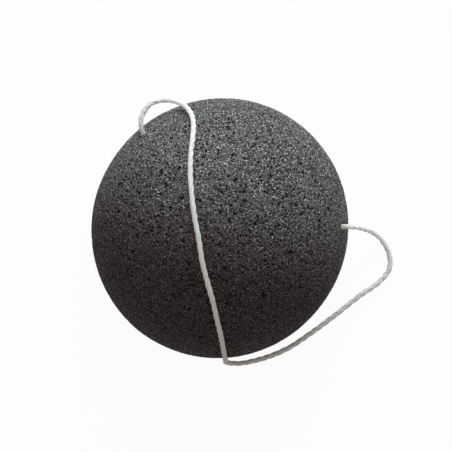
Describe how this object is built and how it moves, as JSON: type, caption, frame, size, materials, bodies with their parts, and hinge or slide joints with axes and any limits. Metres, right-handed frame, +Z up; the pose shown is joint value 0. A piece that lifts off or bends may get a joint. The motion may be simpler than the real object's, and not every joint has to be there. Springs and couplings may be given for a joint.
{
  "type": "konjac sponge",
  "caption": "Dark half-ball konjac foam sponge lying flat side down, with a thin white cotton hanging loop threaded through it and laid over its dome.",
  "frame": {"origin": "centre of the flat base, on the surface that the sponge lies on", "axes": "+Z up through the middle of the dome; +X to the right and +Y up the picture, seen from straight above"},
  "size_m": [0.0943, 0.0833, 0.0413],
  "materials": {
    "konjac_foam": "fine open-pored plant-fibre foam, charcoal grey, rough with small glints",
    "cotton_cord": "three-ply twisted cotton, off-white, slightly fuzzy"
  },
  "bodies": {
    "root": {"sponge_body": "konjac_foam", "hanging_loop": "cotton_cord", "inner_run_left": "cotton_cord", "inner_run_right": "cotton_cord", "cord_knot": "cotton_cord"}
  },
  "joints": []
}
